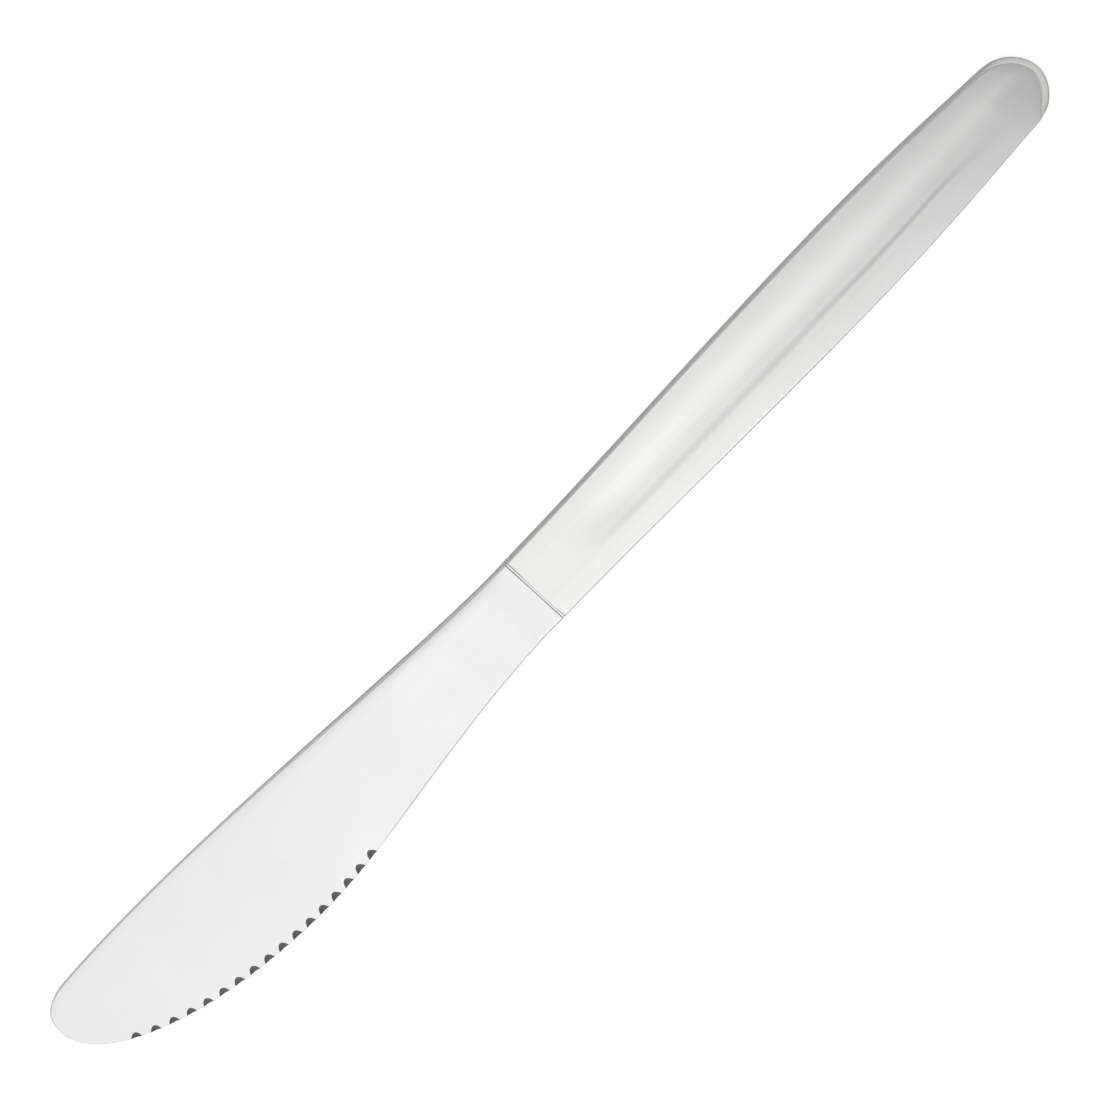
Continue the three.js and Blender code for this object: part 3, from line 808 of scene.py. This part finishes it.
# Scallop steel: rough as ground steel is, and painted dark as painted shade in the scallops
ground_steel_painted_shade = steel(
    "ground_steel_painted_shade", dark=(0.12, 0.118, 0.116), light=(0.15, 0.148, 0.146),
    roughness=(0.38, 0.5), line_bump=0.1)
solder_metal = steel(
    "solder_metal", dark=(0.71, 0.7, 0.675), light=(0.75, 0.74, 0.715),
    roughness=(0.3, 0.4), line_bump=0.2)
# The joint's chamfers: filed steel with painted shade and reflection across the neck
filed_neck_painted_shade = filed_with_painted_shade("filed_neck_painted_shade", FILED_NECK_PAINTED_SHADE)
filed_mouth_painted_shade = filed_with_painted_shade("filed_mouth_painted_shade", FILED_MOUTH_PAINTED_SHADE)


# Pieces

blade = add_object("ground_blade", blade_mesh())
blade.data.materials.append(blade_steel)
blade.data.materials.append(filed_neck_painted_shade)
tang = add_object("tang_bar", prism("tang_bar", tang_outline(), TANG_THICK / 2))
tang.data.materials.append(blade_steel)
# The scallops' cut faces take the ground steel with its painted shade
cutters = add_object("scallop_cutters", scallop_cutters())
cutters.data.materials.append(ground_steel_painted_shade)
boolean(blade, tang, "UNION")
boolean(blade, cutters, "DIFFERENCE")
baked(blade)
bpy.data.objects.remove(tang)
bpy.data.objects.remove(cutters)

front = add_object("front_pressing", shell_mesh("front_pressing", 1))
back = add_object("back_pressing", shell_mesh("back_pressing", -1))
for pressing in (front, back):
    pressing.data.materials.append(handle_steel)
    pressing.data.materials.append(filed_mouth_painted_shade)


def file_off_with_painted_shade(mesh, from_x, to_x):
    """Gives the faces between two stations the filed finish with its painted shade and reflection."""
    for face in mesh.polygons:
        if from_x < face.center.x < to_x:
            face.material_index = 1


# The chamfers on both sides of the solder take the painted shade and reflection
file_off_with_painted_shade(blade.data, JOINT_X - JOINT_CHAMFER_LENGTH, JOINT_X)
file_off_with_painted_shade(front.data, MOUTH_X, MOUTH_X + JOINT_CHAMFER_LENGTH)
file_off_with_painted_shade(back.data, MOUTH_X, MOUTH_X + JOINT_CHAMFER_LENGTH)
solder = add_object("solder_bead", solder_mesh())
solder.data.materials.append(solder_metal)

for piece, node, slot in (
    (blade, "blade", "blade_steel"),
    (front, "handle_front_shell", "handle_steel"),
    (back, "handle_back_shell", "handle_steel"),
    (solder, "neck_solder", "solder"),
):
    shade(piece.data, SHARP_ANGLE)
    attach(piece, "root")
    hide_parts(node)

# The cement keeps its solid
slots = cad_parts["tang_cement"].data.materials
slots.clear()
slots.append(cast_cement())


# Stage

def floor_mesh():
    bm = bmesh.new()
    bmesh.ops.create_grid(bm, x_segments=1, y_segments=1, size=FLOOR_SIDE / 2)
    mesh = bpy.data.meshes.new("floor")
    bm.to_mesh(mesh)
    bm.free()
    return mesh


def add_panel():
    """One soft panel of light above the tip, brightest on the cutting edge's side."""
    light = bpy.data.lights.new("panel", "AREA")
    light.shape = "RECTANGLE"
    light.size = PANEL_X[1] - PANEL_X[0]
    light.size_y = PANEL_Y[1] - PANEL_Y[0]
    light.energy = math.pi * light.size * light.size_y
    light.use_nodes = True
    tree = light.node_tree
    where = tree.nodes.new("ShaderNodeNewGeometry")
    split = tree.nodes.new("ShaderNodeSeparateXYZ")
    tree.links.new(where.outputs["Parametric"], split.inputs[0])
    fade = tree.nodes.new("ShaderNodeMapRange")
    tree.links.new(split.outputs["Y"], fade.inputs["Value"])
    for socket, levels in (("To Min", PANEL_BY_EDGE), ("To Max", PANEL_BY_SPINE)):
        stops = [((x - PANEL_X[0]) / light.size, tone) for x, tone in levels]
        tree.links.new(grey_ramp(tree, split.outputs["X"], stops), fade.inputs[socket])
    tree.links.new(fade.outputs["Result"], tree.nodes["Emission"].inputs["Strength"])
    panel = add_object("panel", light)
    panel.location = (sum(PANEL_X) / 2, sum(PANEL_Y) / 2, PANEL_HEIGHT)
    panel.visible_camera = False


def room_ramp(tree, component, levels):
    """Brightness of the room by one component of the direction, from -1 to 1."""
    stops = [((place + 1) / 2, tone) for place, tone in levels]
    return grey_ramp(tree, mapped(tree, component, source=(-1, 1)), stops)


def add_room():
    """A pale room whose brightness changes with the direction."""
    world = bpy.data.worlds.new("studio")
    bpy.context.scene.world = world
    world.use_nodes = True
    tree = world.node_tree
    where = tree.nodes.new("ShaderNodeTexCoord")
    split = tree.nodes.new("ShaderNodeSeparateXYZ")
    tree.links.new(where.outputs["Generated"], split.inputs[0])
    low = tree.nodes.new("ShaderNodeMath")
    low.operation = "ADD"
    tree.links.new(room_ramp(tree, split.outputs["X"], ROOM_LOW), low.inputs[0])
    tree.links.new(room_ramp(tree, split.outputs["Y"], ROOM_BY_EDGE), low.inputs[1])
    rise = tree.nodes.new("ShaderNodeMapRange")
    rise.interpolation_type = "SMOOTHSTEP"
    rise.inputs["From Min"].default_value = ROOM_RISE[0]
    rise.inputs["From Max"].default_value = ROOM_RISE[1]
    tree.links.new(split.outputs["Z"], rise.inputs["Value"])
    tree.links.new(low.outputs[0], rise.inputs["To Min"])
    tree.links.new(room_ramp(tree, split.outputs["X"], ROOM_HIGH), rise.inputs["To Max"])
    background = tree.nodes["Background"]
    background.inputs["Color"].default_value = (1, 1, 1, 1)
    tree.links.new(rise.outputs["Result"], background.inputs["Strength"])


def add_camera():
    """The camera at the photograph's angle, turned so that the knife lies across the frame's diagonal."""
    along = Vector((1, 0, 0))
    along = (along - along.dot(VIEW_FROM) * VIEW_FROM).normalized()
    beside = VIEW_FROM.cross(along)
    right = math.cos(VIEW_TURN) * along - math.sin(VIEW_TURN) * beside
    up = math.sin(VIEW_TURN) * along + math.cos(VIEW_TURN) * beside
    lens = bpy.data.cameras.new("camera")
    lens.sensor_width = SENSOR
    lens.lens = SENSOR * VIEW_DISTANCE / VIEW_WIDTH
    lens.clip_start, lens.clip_end = VIEW_CLIP
    camera = add_object("camera", lens)
    turned = Matrix((right, up, VIEW_FROM)).transposed().to_4x4()
    camera.matrix_world = Matrix.Translation(VIEW_TARGET + VIEW_DISTANCE * VIEW_FROM) @ turned
    bpy.context.scene.camera = camera


floor = add_object("floor", floor_mesh())
floor.location.z = cad_box[0].z - FLOOR_DROP
floor.data.materials.append(white_paper())
add_panel()
add_room()
add_camera()
bpy.context.scene.view_settings.view_transform = "Standard"
